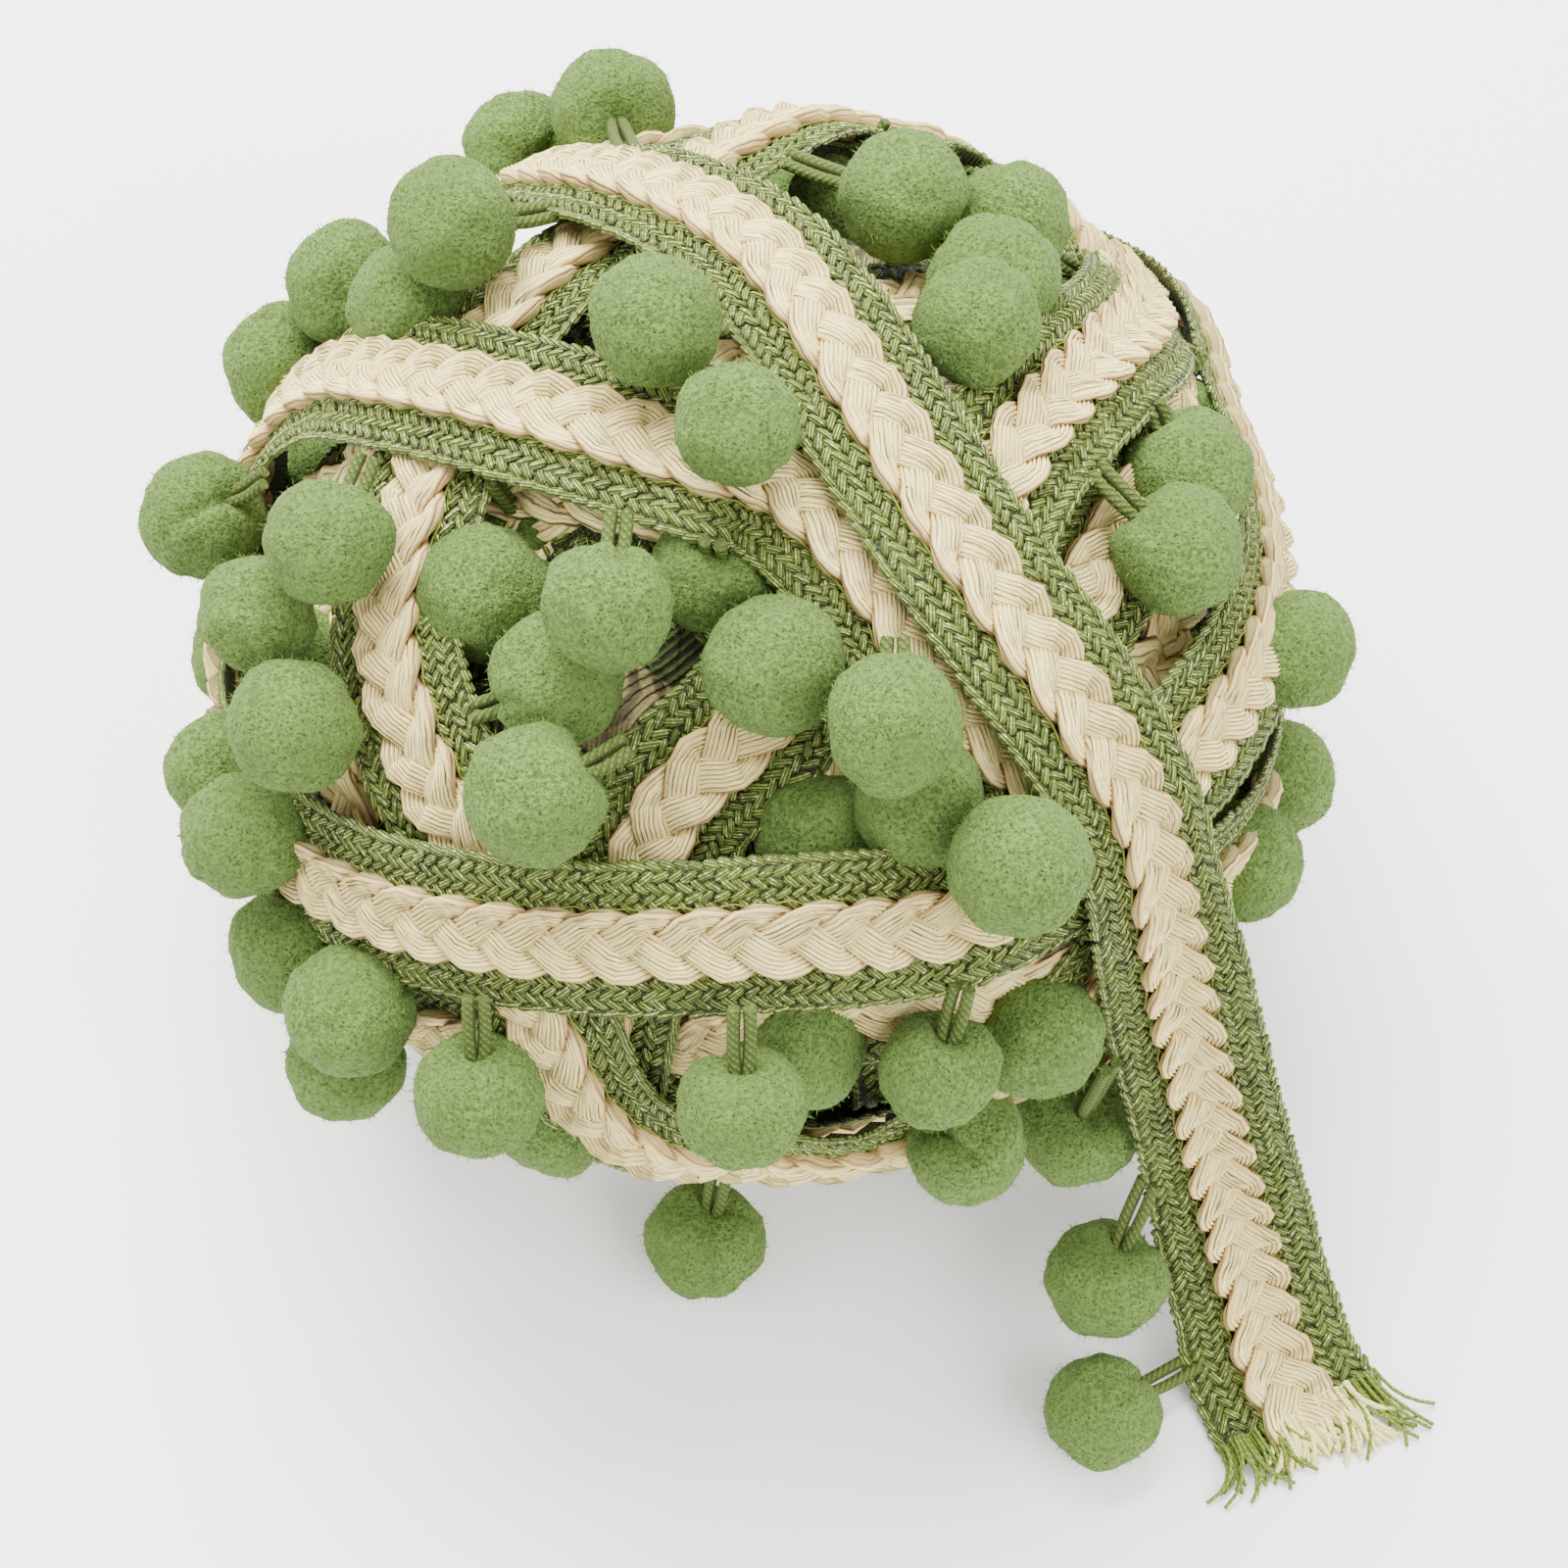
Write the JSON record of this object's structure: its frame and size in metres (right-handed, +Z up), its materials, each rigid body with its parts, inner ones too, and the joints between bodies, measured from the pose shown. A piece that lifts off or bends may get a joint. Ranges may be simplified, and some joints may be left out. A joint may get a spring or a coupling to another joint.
{
  "type": "ball of pompom fringe trim",
  "caption": "Loose ball of flat fringe trim: a plait between two narrow braids, felted pompoms on cord loops along one edge, and one frayed end lying free.",
  "frame": {"origin": "centre of the flat spot on which the ball rests", "axes": "+Z up, -Y towards the side where the free end lies, +X to the right seen from that side"},
  "size_m": [0.1829, 0.1952, 0.155],
  "materials": {
    "braid_yarn": "olive green yarn with a slight sheen",
    "plait_yarn": "natural cotton yarn, matt",
    "pompom_felt": "felted leaf green wool, matt and fuzzy"
  },
  "bodies": {
    "root": {"edge_braid": "braid_yarn", "fringe_braid": "braid_yarn", "loop_front_a": "braid_yarn", "loop_front_b": "braid_yarn", "loop_left_b": "braid_yarn", "loop_low_a": "braid_yarn", "loop_low_b": "braid_yarn", "loop_low_c": "braid_yarn", "loop_low_d": "braid_yarn", "loop_middle_b": "braid_yarn", "loop_middle_f": "braid_yarn", "loop_middle_g": "braid_yarn", "plait": "plait_yarn", "pompom_crown_a": "pompom_felt", "pompom_crown_b": "pompom_felt", "pompom_front_a": "pompom_felt", "pompom_front_b": "pompom_felt", "pompom_front_c": "pompom_felt", "pompom_front_d": "pompom_felt", "pompom_front_e": "pompom_felt", "pompom_left_a": "pompom_felt", "pompom_left_b": "pompom_felt", "pompom_left_back_a": "pompom_felt", "pompom_left_back_b": "pompom_felt", "pompom_left_back_c": "pompom_felt", "pompom_left_c": "pompom_felt", "pompom_left_d": "pompom_felt", "pompom_left_e": "pompom_felt", "pompom_left_f": "pompom_felt", "pompom_left_g": "pompom_felt", "pompom_left_h": "pompom_felt", "pompom_left_i": "pompom_felt", "pompom_low_a": "pompom_felt", "pompom_low_b": "pompom_felt", "pompom_low_c": "pompom_felt", "pompom_low_d": "pompom_felt", "pompom_middle_a": "pompom_felt", "pompom_middle_b": "pompom_felt", "pompom_middle_c": "pompom_felt", "pompom_middle_d": "pompom_felt", "pompom_middle_e": "pompom_felt", "pompom_middle_f": "pompom_felt", "pompom_middle_g": "pompom_felt", "pompom_middle_h": "pompom_felt", "pompom_middle_i": "pompom_felt", "pompom_right_a": "pompom_felt", "pompom_right_b": "pompom_felt", "pompom_right_back_a": "pompom_felt", "pompom_right_back_b": "pompom_felt", "pompom_right_back_c": "pompom_felt", "pompom_right_back_d": "pompom_felt", "pompom_right_c": "pompom_felt", "pompom_right_d": "pompom_felt", "pompom_right_e": "pompom_felt", "pompom_top_back_a": "pompom_felt", "pompom_top_back_b": "pompom_felt", "pompom_top_back_c": "pompom_felt", "wound_ball": "braid_yarn"}
  },
  "joints": []
}
